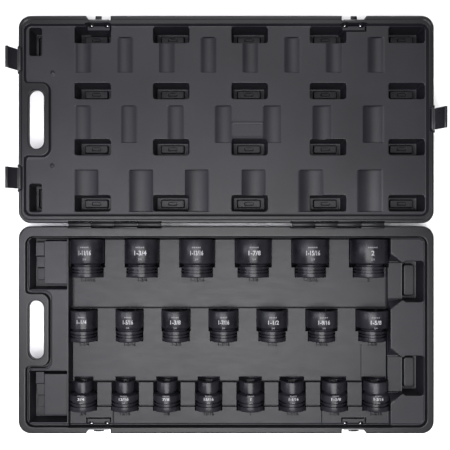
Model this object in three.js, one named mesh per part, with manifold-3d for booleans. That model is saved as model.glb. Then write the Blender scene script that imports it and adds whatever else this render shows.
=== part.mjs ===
// Impact socket set in a blow-moulded carry case, lying fully open.
// Millimetres. +X runs along the hinge, +Y from base to lid, +Z up, floor at Z = 0.
import * as THREE from 'three';
import { mergeVertices } from 'three/addons/utils/BufferGeometryUtils.js';
import Module from 'manifold-3d';

const wasm = await Module();
wasm.setup();

// ---------------------------------------------------------------- case
const CASE_X = 343;            // half width of both shells
const REAR_Y = 2.5;            // rear wall to hinge axis
const FRONT_Y = 345;           // front wall to hinge axis
const SHELL_H = 54;            // height of each shell
const AXIS_Z = 54.3;           // hinge axis above the floor
const CORNER_R = 20;           // plan corner radius
const WALL = 2.5;              // plastic skin
const OVER = 8;                // how far cutters run out above the rim
const NEEDLE_R = 2.5;          // blow-needle hole in the underside
const NEEDLE_X = 250;
const NEEDLE_Y = 60;
const CUT_Z = SHELL_H + OVER;

// carry handle, left side of both shells
const SLOT_X0 = -327;
const SLOT_X1 = -301.5;
const SLOT_Y = 174;
const SLOT_LEN = 97;
const FRAME_X = -290;          // inner edge of the raised frame round the slot
const FRAME_HALF = 60;         // half length of that frame
const GRIP_Z = 38;             // underside of the grip; below it the shell is cut away
const GRIP_X = -293;           // how far in that cutaway reaches

// lid interior
const LID_SIDE = 7.5;          // rim band, left and right
const LID_END = 12;            // rim band, front and rear
const LID_FLOOR = 46;
const WELL_W = 60;
const WELL_D = 27;
const WELL_LEDGE = 10;         // ledge inside each tack-off well
const WELL_FLOOR = 2.8;
const WELL_R = 4;
const WELL_STEP = 5;           // width of the ledge
const SIDE_WELL_X = -317;
const SIDE_WELLS_Y = [44.5, 304];
const SIDE_WELL_W = 23;
const SIDE_WELL_D = 49;
const PLAQUE = [2, 69, 141, 172];
const RELIEF_END = 3;
const WELL_PITCH_X = 130.5;
const WELL_PITCH_Y = 93.3;
const WELL_FIRST_X = -222;
const WELL_FIRST_Y = 35.6;

// base interior
const BASE_SIDE = 10.5;
const BASE_FRONT = 14;
const BASE_REAR = 16;
const BASE_TOP = 51;           // level beside the tray
const GROOVE_W = 3;
const GROOVE_Z = 45;
const TRAY_X0 = -262;
const TRAY_X1 = 273;
const TERRACE_LARGE = 32;
const TERRACE_MIDDLE = 37;
const TERRACE_SMALL = 41;
const TERRACE_FRONT = 45;
const STEP_1 = -141;
const STEP_2 = -264;
const STEP_3 = -304;
const PIT_Z = 19;
const PIT_X = 326;             // outer wall of all four accessory pits
const SLAB_X0 = -302;          // left edge of the slab in the left pits
const SLAB_X1 = -263.5;
const SLAB_Z = 40;
const STAIR_X = -315;
const STAIR_Z = [24, 30, 36];
const LEFT_PITS = [
  { y: [-108, -20], slab: [-101, -25], stair: [-94, -73, -53, -29] },
  { y: [-328, -241], slab: [-320, -247], stair: [-309, -288, -267, -246] },
];
const RIGHT_PITS = [[-128, -60], [-283, -217]];
const RIGHT_PIT_X0 = 293;
const CHANNEL_Z = 36;          // from a right pit into the tray
const CHANNEL_IN = 8;
const CATCH_X = 340;           // catch recess for a side latch
const CATCH_HALF = 20;
const CATCH_Z = [26, 36];

// hinges
const HINGE_IN = 108;          // inner end of each hinge from the middle
const KNUCKLE_PITCH = 38;
const KNUCKLE_GAP = 0.8;
const KNUCKLE_R = 4.2;
const KNUCKLE_CLEAR = 0.7;
const PIN_R = 1.8;
const PIN_BORE_R = 2.1;

// front latches and keepers
const LATCH_X = 212;
const NOTCH_HALF = 20;
const NOTCH_DEEP = 7;
const NOTCH_Y = FRONT_Y - NOTCH_DEEP;
const POCKET_HALF = 21.5;
const POCKET_Y0 = 319;
const POCKET_Y1 = 333.2;
const POCKET_Z = 26;
const PLATE_HALF = 17.5;
const PLATE_T = 1.2;
const PLATE_Z0 = 28;
const PLATE_Z1 = 51;
const GAP = 0.3;
const LEVER_PIN_Z = 46;
const LEVER_PIN_OUT = 3.8;
const LEVER_PIN_R = 0.9;
const LOOP_Z = 39;
const LOOP_OUT = 3.4;
const LOOP_LEN = 26;
const LOOP_LEAN = 9.5 * Math.PI / 180;
const WIRE_R = 1;
const RIVET_X = 13.2;
const RIVET_Z = 34;
const RIVET_R = 1.7;
const RIVET_HOLE_R = 2;
const RIVET_HEAD_R = 2.7;
const LOOP_REACH = LOOP_OUT + (LOOP_LEN + WIRE_R) * Math.sin(LOOP_LEAN)
  + WIRE_R * Math.cos(LOOP_LEAN);
const HOOK_HALF = 4.8;
const HOOK_T = 1.4;
const HOOK_LIP = 4.8;
const HOOK_Z = 45.4;           // underside of the loop bar's seat, lid lying open

// side latches, on the lid
const SIDE_BAR_X = 342.5;
const SIDE_BAR_Z = 48;
const SIDE_BAR_R = 2;
const SIDE_RING_R = 3.8;
const SIDE_RING_BORE = 2.35;
const SIDE_HALF = 17.5;
const SIDE_LEN = 31;
const SIDE_T = 3;
const SIDE_REST = 25 * Math.PI / 180;
const SIDE_RECESS_X = 337.8;
const SIDE_RECESS_Z = 42;
const SIDE_LATCHES = [
  { name: 'left_front', side: -1, y: 273 },
  { name: 'left_rear', side: -1, y: 77 },
  { name: 'right', side: 1, y: 175 },
];

// sockets: 3/4 inch square drive, six point
const INCH = 25.4;
const DRIVE = 19.2;
const ROW_X0 = -260;
const ROW_X1 = 271;
const CRADLE_CLEAR = 0.6;
const CRADLE_END = 0.9;        // extra room past each end of a socket
const ROWS = [
  {
    nose: -24, axisZ: 36, length: 63.5, boss: 51, neck: 22,
    sizes: ['1_11_16', '1_3_4', '1_13_16', '1_7_8', '1_15_16', '2'],
  },
  {
    nose: -142, axisZ: 39.8, length: 52, boss: 44, neck: 16,
    sizes: ['1_1_4', '1_5_16', '1_3_8', '1_7_16', '1_1_2', '1_9_16', '1_5_8'],
  },
  {
    nose: -259, axisZ: 42.4, length: 49, boss: 44, neck: 26,
    sizes: ['3_4', '13_16', '7_8', '15_16', '1', '1_1_16', '1_1_8', '1_3_16'],
  },
];

// ---------------------------------------------------------------- helpers
function solid(geometry) {
  const bare = new THREE.BufferGeometry();
  bare.setAttribute('position', geometry.getAttribute('position').clone());
  if (geometry.index) bare.setIndex(geometry.index.clone());
  const merged = mergeVertices(bare, 1e-4);
  const keep = [];
  for (let i = 0; i < merged.index.count; i += 3) {
    const a = merged.index.getX(i);
    const b = merged.index.getX(i + 1);
    const c = merged.index.getX(i + 2);
    if (a !== b && b !== c && c !== a) keep.push(a, b, c);
  }
  const mesh = new wasm.Mesh({
    numProp: 3,
    vertProperties: new Float32Array(merged.getAttribute('position').array),
    triVerts: new Uint32Array(keep),
  });
  return new wasm.Manifold(mesh);
}

function box(x0, x1, y0, y1, z0, z1) {
  const g = new THREE.BoxGeometry(x1 - x0, y1 - y0, z1 - z0);
  g.translate((x0 + x1) / 2, (y0 + y1) / 2, (z0 + z1) / 2);
  return solid(g);
}

function prism(shape, z0, z1, segments = 3) {
  const g = new THREE.ExtrudeGeometry(shape, {
    depth: z1 - z0, bevelEnabled: false, curveSegments: segments,
  });
  g.translate(0, 0, z0);
  return solid(g);
}

function roundedRect(x0, x1, y0, y1, r) {
  const s = new THREE.Shape();
  s.moveTo(x0 + r, y0);
  s.lineTo(x1 - r, y0);
  s.absarc(x1 - r, y0 + r, r, -Math.PI / 2, 0);
  s.lineTo(x1, y1 - r);
  s.absarc(x1 - r, y1 - r, r, 0, Math.PI / 2);
  s.lineTo(x0 + r, y1);
  s.absarc(x0 + r, y1 - r, r, Math.PI / 2, Math.PI);
  s.lineTo(x0, y0 + r);
  s.absarc(x0 + r, y0 + r, r, Math.PI, Math.PI * 1.5);
  return s;
}

function rodX(x0, x1, y, z, r, segments = 16) {
  const g = new THREE.CylinderGeometry(r, r, x1 - x0, segments);
  g.rotateZ(Math.PI / 2);
  g.translate((x0 + x1) / 2, y, z);
  return solid(g);
}

function rodY(x, y0, y1, z, r, segments = 16) {
  const g = new THREE.CylinderGeometry(r, r, y1 - y0, segments);
  g.translate(x, (y0 + y1) / 2, z);
  return solid(g);
}

function unite(list) {
  return list.reduce((sum, item) => sum.add(item));
}

function toMesh(name, body, colour, roughness, metalness) {
  const m = body.getMesh();
  const g = new THREE.BufferGeometry();
  g.setAttribute('position', new THREE.BufferAttribute(m.vertProperties.slice(), 3));
  g.setIndex(new THREE.BufferAttribute(m.triVerts.slice(), 1));
  g.computeVertexNormals();
  const material = new THREE.MeshStandardMaterial({ color: colour, roughness, metalness });
  const mesh = new THREE.Mesh(g, material);
  mesh.name = name;
  return mesh;
}

// ---------------------------------------------------------------- shells
// Both shells are drawn as base shells at negative or positive Y with "dir".
function spanY(dir, near, far) {
  return dir > 0 ? [near, far] : [-far, -near];
}

function outline(dir, inset) {
  const [y0, y1] = spanY(dir, REAR_Y + inset, FRONT_Y - inset);
  return roundedRect(-CASE_X + inset, CASE_X - inset, y0, y1, CORNER_R - inset);
}

// Inside edge of the rim, stepping in round the handle frame.
function interior(dir, side, rear, front, inset) {
  const [y0, y1] = spanY(dir, REAR_Y + rear + inset, FRONT_Y - front - inset);
  const x0 = -CASE_X + side + inset;
  const x1 = CASE_X - side - inset;
  const xf = FRAME_X + inset;
  const f0 = dir * SLOT_Y - FRAME_HALF - inset;
  const f1 = dir * SLOT_Y + FRAME_HALF + inset;
  const c = 10;
  const s = new THREE.Shape();
  s.moveTo(x0 + c, y0);
  s.lineTo(x1 - c, y0);
  s.lineTo(x1, y0 + c);
  s.lineTo(x1, y1 - c);
  s.lineTo(x1 - c, y1);
  s.lineTo(x0 + c, y1);
  s.lineTo(x0, y1 - c);
  s.lineTo(x0, f1);
  s.lineTo(xf - c, f1);
  s.lineTo(xf, f1 - c);
  s.lineTo(xf, f0 + c);
  s.lineTo(xf - c, f0);
  s.lineTo(x0, f0);
  s.lineTo(x0, y0 + c);
  return s;
}

function handleSlot(dir, grow) {
  const r = (SLOT_X1 - SLOT_X0) / 2 + grow;
  const y0 = dir * SLOT_Y - SLOT_LEN / 2 - grow;
  const y1 = dir * SLOT_Y + SLOT_LEN / 2 + grow;
  return prism(roundedRect(SLOT_X0 - grow, SLOT_X1 + grow, y0, y1, r - 0.01), -OVER, CUT_Z, 4);
}

function gripCutaway(dir, grow) {
  const y = dir * SLOT_Y;
  const half = FRAME_HALF + grow;
  return box(-CASE_X - OVER, GRIP_X + grow, y - half, y + half, -OVER, GRIP_Z + grow);
}

function latchNotch(dir, x, grow) {
  const [y0, y1] = spanY(dir, NOTCH_Y - grow, FRONT_Y + OVER);
  return box(x - NOTCH_HALF - grow, x + NOTCH_HALF + grow, y0, y1, -OVER, CUT_Z);
}

function latchPocket(dir, x, grow) {
  const [y0, y1] = spanY(dir, POCKET_Y0 - grow, POCKET_Y1 + grow);
  return box(x - POCKET_HALF - grow, x + POCKET_HALF + grow, y0, y1, POCKET_Z - grow, CUT_Z);
}

// Knuckle number k counts from the middle of the case; odd ones belong to the base.
function knuckle(side, k, r, trim) {
  const a = HINGE_IN + k * KNUCKLE_PITCH + trim;
  const b = HINGE_IN + (k + 1) * KNUCKLE_PITCH - trim;
  return side > 0 ? rodX(a, b, 0, AXIS_Z, r) : rodX(-b, -a, 0, AXIS_Z, r);
}

function ownKnuckles(dir) {
  const parts = [];
  for (const side of [-1, 1]) {
    for (const k of dir < 0 ? [1, 3] : [0, 2]) {
      const a = HINGE_IN + k * KNUCKLE_PITCH + KNUCKLE_GAP / 2;
      const b = HINGE_IN + (k + 1) * KNUCKLE_PITCH - KNUCKLE_GAP / 2;
      const [x0, x1] = side > 0 ? [a, b] : [-b, -a];
      const [y0, y1] = spanY(dir, 0, KNUCKLE_R);
      parts.push(knuckle(side, k, KNUCKLE_R, KNUCKLE_GAP / 2));
      parts.push(box(x0, x1, y0, y1, AXIS_Z - 2 * KNUCKLE_R, AXIS_Z - 1));
    }
  }
  return unite(parts);
}

function otherKnuckleRoom(dir, grow) {
  const parts = [];
  for (const side of [-1, 1]) {
    for (const k of dir < 0 ? [0, 2] : [1, 3]) {
      parts.push(knuckle(side, k, KNUCKLE_R + KNUCKLE_CLEAR + grow, -grow));
    }
  }
  return unite(parts);
}

function pinBores() {
  const length = 4 * KNUCKLE_PITCH;
  return unite([-1, 1].map((side) => {
    const a = HINGE_IN - OVER;
    const b = HINGE_IN + length + OVER;
    return side > 0
      ? rodX(a, b, 0, AXIS_Z, PIN_BORE_R, 12)
      : rodX(-b, -a, 0, AXIS_Z, PIN_BORE_R, 12);
  }));
}

function shell(dir, cutters) {
  const outer = prism(outline(dir, 0), 0, SHELL_H, 5);
  const inner = prism(outline(dir, WALL), WALL, SHELL_H - WALL, 3);
  const skin = outer.subtract(unite(cutters(0)));
  const hollow = inner.subtract(unite(cutters(WALL)));
  const [nx, ny] = [NEEDLE_X, dir * NEEDLE_Y];
  const needle = prism(roundedRect(nx - NEEDLE_R, nx + NEEDLE_R,
    ny - NEEDLE_R, ny + NEEDLE_R, NEEDLE_R - 0.01), -OVER, OVER);
  let body = skin.subtract(hollow).subtract(needle);
  body = body.add(ownKnuckles(dir)).subtract(pinBores());
  for (const side of [-1, 1]) {
    for (const u of [-RIVET_X, RIVET_X]) {
      const [y0, y1] = spanY(dir, POCKET_Y1 - 1, NOTCH_Y + 1);
      body = body.subtract(rodY(side * LATCH_X + u, y0, y1, RIVET_Z, RIVET_HOLE_R, 10));
    }
  }
  return body;
}

function sharedCutters(dir, grow) {
  const list = [handleSlot(dir, grow), gripCutaway(dir, grow), otherKnuckleRoom(dir, grow)];
  for (const side of [-1, 1]) {
    list.push(latchNotch(dir, side * LATCH_X, grow));
    list.push(latchPocket(dir, side * LATCH_X, grow));
  }
  return list;
}

// ---------------------------------------------------------------- sockets
function inches(size) {
  const n = size.split('_').map(Number);
  if (n.length === 1) return n[0];
  if (n.length === 2) return n[0] / n[1];
  return n[0] + n[1] / n[2];
}

function socketsOf(row) {
  const list = row.sizes.map((size) => {
    const flats = inches(size) * INCH;
    const nose = flats * 1.06 + 10;
    const boss = Math.min(row.boss, Math.max(nose, 44));
    return { size, flats, nose, boss, wide: Math.max(nose, boss), row };
  });
  const used = list.reduce((sum, s) => sum + s.wide, 0);
  const gap = (ROW_X1 - ROW_X0 - used) / (list.length - 1);
  let x = ROW_X0;
  for (const s of list) {
    s.x = x + s.wide / 2;
    x += s.wide + gap;
  }
  return list;
}

const SOCKETS = ROWS.flatMap(socketsOf);
const GROOVE_FROM_BACK = 12;
const SOCKET_SIDES = 14;

function socketBody(s) {
  const R = s.nose / 2;
  const B = s.boss / 2;
  const L = s.row.length;
  const neckTo = Math.min(s.row.neck + 8, L - GROOVE_FROM_BACK - 4);
  const narrowNose = R < B;
  const profile = [
    [0, 0],
    [R - 1.2, 0],
    [R, 1.2],
    [R, narrowNose ? s.row.neck - 6 : L - s.row.neck - 2],
    [B, narrowNose ? neckTo - 10 : L - s.row.neck + 4],
    [B, L - GROOVE_FROM_BACK - 2],
    [B - 1.6, L - GROOVE_FROM_BACK],
    [B - 1.6, L - GROOVE_FROM_BACK + 3],
    [B, L - GROOVE_FROM_BACK + 4],
    [B, L],
    [0, L],
  ].map(([r, y]) => new THREE.Vector2(r, y));
  const g = new THREE.LatheGeometry(profile, SOCKET_SIDES);
  g.rotateZ(Math.PI);
  g.translate(s.x, s.row.nose, s.row.axisZ);
  const deep = L * 0.55;
  const hexR = s.flats / 2 / Math.cos(Math.PI / 6);
  const hex = rodY(s.x, s.row.nose - deep, s.row.nose + 1, s.row.axisZ, hexR, 6);
  const back = s.row.nose - L;
  const half = DRIVE / 2;
  const z = s.row.axisZ;
  const square = box(s.x - half, s.x + half, back - 1, s.row.nose - deep + 1, z - half, z + half);
  return solid(g).subtract(square).subtract(hex);
}

// Seat of one socket in the tray: the lower half of its outline with clearance.
function cradle(s, grow) {
  const sides = grow > 0 ? 8 : SOCKET_SIDES;
  const c = CRADLE_CLEAR + grow;
  const swell = grow > 0 ? 1 / Math.cos(Math.PI / sides) : 1;
  const y0 = s.row.nose - s.row.length - c - CRADLE_END;
  const y1 = s.row.nose + c + CRADLE_END;
  const wide = (s.wide / 2 + c) * swell;
  if (s.boss >= s.nose) return rodY(s.x, y0, y1, s.row.axisZ, wide, sides);
  const shoulder = s.row.nose - s.row.length + s.row.neck - 5;
  return unite([
    rodY(s.x, shoulder, y1, s.row.axisZ, wide, sides),
    rodY(s.x, y0, shoulder + 0.1, s.row.axisZ, (s.boss / 2 + c) * swell, sides),
  ]);
}

// Shallow relief in the lid over one socket when the case is shut.
function relief(s, grow) {
  const z = 2 * AXIS_Z - s.row.axisZ;
  const drop = z - LID_FLOOR;
  const chord = s.row.boss > 44 ? 19 : Math.max(11.8, s.nose / 2 - 11.2);
  const sides = grow > 0 ? 12 : 24;
  const swell = grow > 0 ? 1 / Math.cos(Math.PI / sides) : 1;
  const r = (Math.max(Math.hypot(drop, chord), s.wide / 2 + 1.2) + grow) * swell;
  const near = -s.row.nose - RELIEF_END - grow;
  const far = -s.row.nose + s.row.length + RELIEF_END + grow;
  return rodY(s.x, near, far, z, r, sides);
}

// ---------------------------------------------------------------- base shell
function baseCutters(grow) {
  const dir = -1;
  const list = sharedCutters(dir, grow);
  const b = (x0, x1, y0, y1, z) => list.push(
    box(x0 - grow, x1 + grow, y0 - grow, y1 + grow, z - grow, CUT_Z));
  const inside = interior(dir, BASE_SIDE, BASE_REAR, BASE_FRONT, -grow);
  list.push(prism(inside, BASE_TOP - grow, CUT_Z, 1));
  const ring = interior(dir, BASE_SIDE, BASE_REAR, BASE_FRONT, -grow);
  const island = interior(dir, BASE_SIDE, BASE_REAR, BASE_FRONT, GROOVE_W + grow);
  const moat = prism(ring, GROOVE_Z - grow, CUT_Z, 1);
  list.push(moat.subtract(prism(island, 0, CUT_Z + 1, 1)));
  const rear = -(REAR_Y + BASE_REAR);
  const front = -(FRONT_Y - BASE_FRONT);
  b(TRAY_X0, TRAY_X1, STEP_1, rear, TERRACE_LARGE);
  b(TRAY_X0, TRAY_X1, STEP_2, STEP_1, TERRACE_MIDDLE);
  b(TRAY_X0, TRAY_X1, STEP_3, STEP_2, TERRACE_SMALL);
  b(TRAY_X0, TRAY_X1, front, STEP_3, TERRACE_FRONT);
  for (const s of SOCKETS) list.push(cradle(s, grow));
  for (const pit of LEFT_PITS) leftPit(b, pit);
  for (const [y0, y1] of RIGHT_PITS) {
    b(RIGHT_PIT_X0, PIT_X, y0, y1, PIT_Z);
    b(TRAY_X1 - 1, RIGHT_PIT_X0 + 1, y0 + CHANNEL_IN, y1 - CHANNEL_IN, CHANNEL_Z);
  }
  for (const { side, y } of SIDE_LATCHES) {
    const [x0, x1] = side > 0 ? [CATCH_X, CASE_X + OVER] : [-CASE_X - OVER, -CATCH_X];
    list.push(box(x0 - grow, x1 + grow, -y - CATCH_HALF - grow, -y + CATCH_HALF + grow,
      CATCH_Z[0] - grow, CATCH_Z[1] + grow));
  }
  return list;
}

// Accessory pit: a moat round a raised slab, with a stair of three blocks beside it.
function leftPit(b, pit) {
  const [y0, y1] = pit.y;
  b(SLAB_X0, SLAB_X1, y0, y1, SLAB_Z);
  b(-PIT_X, STAIR_X, y0, y1, PIT_Z);
  b(-PIT_X, SLAB_X1, pit.slab[1], y1, PIT_Z);
  b(-PIT_X, SLAB_X1, y0, pit.slab[0], PIT_Z);
  STAIR_Z.forEach((z, i) => b(STAIR_X, SLAB_X0, pit.stair[i], pit.stair[i + 1], z));
}

// ---------------------------------------------------------------- lid shell
function lidCutters(grow) {
  const dir = 1;
  const list = sharedCutters(dir, grow);
  const inside = interior(dir, LID_SIDE, LID_END, LID_END, -grow);
  list.push(prism(inside, LID_FLOOR - grow, CUT_Z, 1));
  for (let i = 0; i < 5; i += 1) {
    for (let j = 0; j < 4; j += 1) {
      well(list, WELL_FIRST_X + i * WELL_PITCH_X, WELL_FIRST_Y + j * WELL_PITCH_Y,
        WELL_W, WELL_D, grow);
    }
  }
  for (const y of SIDE_WELLS_Y) well(list, SIDE_WELL_X, y, SIDE_WELL_W, SIDE_WELL_D, grow);
  for (const s of SOCKETS) list.push(relief(s, grow));
  const [p0, p1, q0, q1] = PLAQUE;
  list.push(box(p0 - grow, p1 + grow, q0 - grow, q1 + grow, LID_FLOOR - 1 - grow, CUT_Z));
  for (const latch of SIDE_LATCHES) {
    const [x0, x1] = latch.side > 0
      ? [SIDE_RECESS_X, CASE_X + OVER] : [-CASE_X - OVER, -SIDE_RECESS_X];
    list.push(box(x0 - grow, x1 + grow, latch.y - 19.5 - grow, latch.y + 19.5 + grow,
      SIDE_RECESS_Z - grow, CUT_Z));
  }
  return list;
}

function well(list, x, y, w, d, grow) {
  const hx = w / 2 + grow;
  const hy = d / 2 + grow;
  const mouth = roundedRect(x - hx, x + hx, y - hy, y + hy, WELL_R);
  list.push(grow > 0
    ? box(x - hx, x + hx, y - hy, y + hy, WELL_LEDGE - grow, CUT_Z)
    : prism(mouth, WELL_LEDGE, CUT_Z, 2));
  const px = hx - WELL_STEP;
  const py = hy - WELL_STEP;
  list.push(box(x - px, x + px, y - py, y + py, WELL_FLOOR - grow, CUT_Z));
}

function lidBars() {
  return unite(SIDE_LATCHES.map((latch) => {
    const x = latch.side * SIDE_BAR_X;
    const bar = rodY(x, latch.y - 21, latch.y + 21, SIDE_BAR_Z, SIDE_BAR_R, 12);
    const lugs = [-1, 1].map((end) => {
      const y = latch.y + end * 20.6;
      return rodY(x, y - 2.4, y + 2.4, SIDE_BAR_Z, 3.4, 12);
    });
    return bar.add(unite(lugs));
  }));
}

// ---------------------------------------------------------------- front latch
// Drawn in the base frame: u across, "out" away from the notch face.
function atFront(dir, out) {
  return dir * (NOTCH_Y + out);
}

function frontBox(dir, x, u0, u1, out0, out1, z0, z1) {
  const [y0, y1] = spanY(dir, NOTCH_Y + out0, NOTCH_Y + out1);
  return box(x + u0, x + u1, y0, y1, z0, z1);
}

function plateWithHoles(dir, x) {
  let plate = frontBox(dir, x, -PLATE_HALF, PLATE_HALF, GAP, GAP + PLATE_T, PLATE_Z0, PLATE_Z1);
  for (const u of [-RIVET_X, RIVET_X]) {
    const [y0, y1] = spanY(dir, NOTCH_Y - 1, NOTCH_Y + 3);
    plate = plate.subtract(rodY(x + u, y0, y1, RIVET_Z, RIVET_HOLE_R, 10));
  }
  return plate;
}

function latchPlate(x) {
  let plate = plateWithHoles(-1, x);
  for (const side of [-1, 1]) {
    const u0 = side > 0 ? 5 : -6.2;
    plate = plate.add(frontBox(-1, x, u0, u0 + 1.2, 1, 5.3, 42.5, 49.5));
  }
  return plate.subtract(rodX(x - 9, x + 9, atFront(-1, LEVER_PIN_OUT), LEVER_PIN_Z, 1.2, 10));
}

function lever(x) {
  const yPin = atFront(-1, LEVER_PIN_OUT);
  const parts = [frontBox(-1, x, -7.7, 7.7, 5.5, 6.7, 22, 42)];
  for (const side of [-1, 1]) {
    const u0 = side > 0 ? 6.5 : -7.7;
    parts.push(frontBox(-1, x, u0, u0 + 1.2, 1.9, 5.8, 28, LEVER_PIN_Z));
    parts.push(rodX(x + u0, x + u0 + 1.2, yPin, LEVER_PIN_Z, 1.9, 14));
  }
  return unite(parts)
    .subtract(rodX(x - 9, x + 9, yPin, LEVER_PIN_Z, 1.2, 10))
    .subtract(rodX(x - 9, x + 9, atFront(-1, LOOP_OUT), LOOP_Z, 1.3, 10));
}

// Wire bail: two arms that draw in towards the cross bar at the far end.
function loop(x) {
  const arm = 9.3;
  const neck = 18;
  const tip = 6.4;
  const r = WIRE_R;
  const s = new THREE.Shape();
  s.moveTo(-arm - r, -r);
  s.lineTo(-arm - r, neck + r * 0.4);
  s.lineTo(-tip - r * 0.8, LOOP_LEN + r);
  s.lineTo(tip + r * 0.8, LOOP_LEN + r);
  s.lineTo(arm + r, neck + r * 0.4);
  s.lineTo(arm + r, -r);
  s.lineTo(arm - r, -r);
  s.lineTo(arm - r, neck - r * 0.4);
  s.lineTo(tip - r * 0.8, LOOP_LEN - r);
  s.lineTo(-tip + r * 0.8, LOOP_LEN - r);
  s.lineTo(-arm + r, neck - r * 0.4);
  s.lineTo(-arm + r, -r);
  const ends = [-1, 1].map((side) => (
    side > 0 ? rodX(6.8, arm, 0, 0, r, 8) : rodX(-arm, -6.8, 0, 0, r, 8)));
  const m = new THREE.Matrix4().makeTranslation(x, atFront(-1, LOOP_OUT), LOOP_Z);
  m.multiply(new THREE.Matrix4().makeRotationX(-Math.PI / 2 - LOOP_LEAN));
  return prism(s, -r, r).add(unite(ends)).transform(m.elements);
}

function rivet(dir, x) {
  const parts = [];
  const rod = (out0, out1, r) => {
    const [y0, y1] = spanY(dir, NOTCH_Y + out0, NOTCH_Y + out1);
    parts.push(rodY(x, y0, y1, RIVET_Z, r, 8));
  };
  const inside = POCKET_Y1 - NOTCH_Y;
  rod(inside - 1.3, 2.8, RIVET_R);
  rod(1.8, 2.8, RIVET_HEAD_R);
  rod(inside - 1.3, inside - GAP, RIVET_HEAD_R);
  return unite(parts);
}

function keeper(x) {
  return unite([
    plateWithHoles(1, x),
    frontBox(1, x, -HOOK_HALF, HOOK_HALF, 1, LOOP_REACH, HOOK_Z, HOOK_Z + HOOK_T),
    frontBox(1, x, -HOOK_HALF, HOOK_HALF, LOOP_REACH - HOOK_T, LOOP_REACH,
      HOOK_Z - HOOK_LIP, HOOK_Z + HOOK_T),
  ]);
}

// ---------------------------------------------------------------- side latch
// Built snapped shut (flap straight up), then swung out to its resting angle.
function sideLatch(latch) {
  const ring = rodY(0, -SIDE_HALF, SIDE_HALF, 0, SIDE_RING_R, 18);
  const bore = rodY(0, -SIDE_HALF - 1, SIDE_HALF + 1, 0, SIDE_RING_BORE, 14);
  const mouth = box(-1.6, 1.6, -SIDE_HALF - 1, SIDE_HALF + 1, -SIDE_RING_R - 1, -1);
  const flap = box(0.9, 0.9 + SIDE_T, -SIDE_HALF, SIDE_HALF, 1, SIDE_LEN);
  const lip = box(-1.4, 1.5, -SIDE_HALF, SIDE_HALF, SIDE_LEN - 4, SIDE_LEN);
  const body = ring.add(flap).subtract(bore).subtract(mouth).add(lip);
  const m = new THREE.Matrix4().makeRotationY(SIDE_REST);
  if (latch.side < 0) m.premultiply(new THREE.Matrix4().makeRotationZ(Math.PI));
  m.premultiply(new THREE.Matrix4().makeTranslation(
    latch.side * SIDE_BAR_X, latch.y, SIDE_BAR_Z));
  return body.transform(m.elements);
}

// ---------------------------------------------------------------- assembly
const set = new THREE.Group();
set.name = 'socket_set';
const put = (name, body, look) => set.add(toMesh(name, body, ...look));
const PLASTIC = ['#26272b', 0.55, 0.0];
const BLACK_STEEL = ['#101114', 0.38, 0.85];
const ZINC = ['#b9bcc0', 0.3, 0.95];

put('base_shell', shell(-1, baseCutters), PLASTIC);
put('lid_shell', shell(1, lidCutters).add(lidBars()), PLASTIC);
for (const [name, side] of [['left', -1], ['right', 1]]) {
  const a = HINGE_IN + 1;
  const b = HINGE_IN + 4 * KNUCKLE_PITCH - 1;
  const [x0, x1] = side > 0 ? [a, b] : [-b, -a];
  put(`hinge_pin_${name}`, rodX(x0, x1, 0, AXIS_Z, PIN_R, 12), ZINC);
  const x = side * LATCH_X;
  put(`latch_plate_${name}`, latchPlate(x), ZINC);
  put(`latch_lever_${name}`, lever(x), ZINC);
  put(`latch_lever_pin_${name}`,
    rodX(x - 8, x + 8, atFront(-1, LEVER_PIN_OUT), LEVER_PIN_Z, LEVER_PIN_R, 10), ZINC);
  put(`latch_loop_${name}`, loop(x), ZINC);
  put(`keeper_${name}`, keeper(x), ZINC);
  for (const [end, u] of [['a', -RIVET_X], ['b', RIVET_X]]) {
    put(`latch_rivet_${name}_${end}`, rivet(-1, x + u), ZINC);
    put(`keeper_rivet_${name}_${end}`, rivet(1, x + u), ZINC);
  }
}
for (const s of SOCKETS) put(`socket_${s.size}`, socketBody(s), BLACK_STEEL);
for (const latch of SIDE_LATCHES) put(`side_latch_${latch.name}`, sideLatch(latch), PLASTIC);

export default set;
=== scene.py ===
"""Looks of the impact socket set in its case: shells, sockets, latches, clips and their materials."""

import math

import bmesh
import bpy
import numpy as np
from mathutils import Matrix, Vector


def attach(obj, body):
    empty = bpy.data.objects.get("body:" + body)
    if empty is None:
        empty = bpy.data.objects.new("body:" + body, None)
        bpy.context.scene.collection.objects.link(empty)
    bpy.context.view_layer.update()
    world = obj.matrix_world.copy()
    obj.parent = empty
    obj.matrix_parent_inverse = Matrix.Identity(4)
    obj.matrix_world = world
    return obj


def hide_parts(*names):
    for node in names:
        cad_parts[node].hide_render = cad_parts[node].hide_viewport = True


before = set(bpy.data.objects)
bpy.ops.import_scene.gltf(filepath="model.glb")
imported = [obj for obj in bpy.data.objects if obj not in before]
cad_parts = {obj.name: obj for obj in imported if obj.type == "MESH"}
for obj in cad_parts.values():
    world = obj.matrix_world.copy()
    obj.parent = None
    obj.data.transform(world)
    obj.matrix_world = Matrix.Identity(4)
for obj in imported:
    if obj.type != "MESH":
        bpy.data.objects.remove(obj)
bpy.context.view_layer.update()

MM = 0.001
INCH = 25.4

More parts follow.
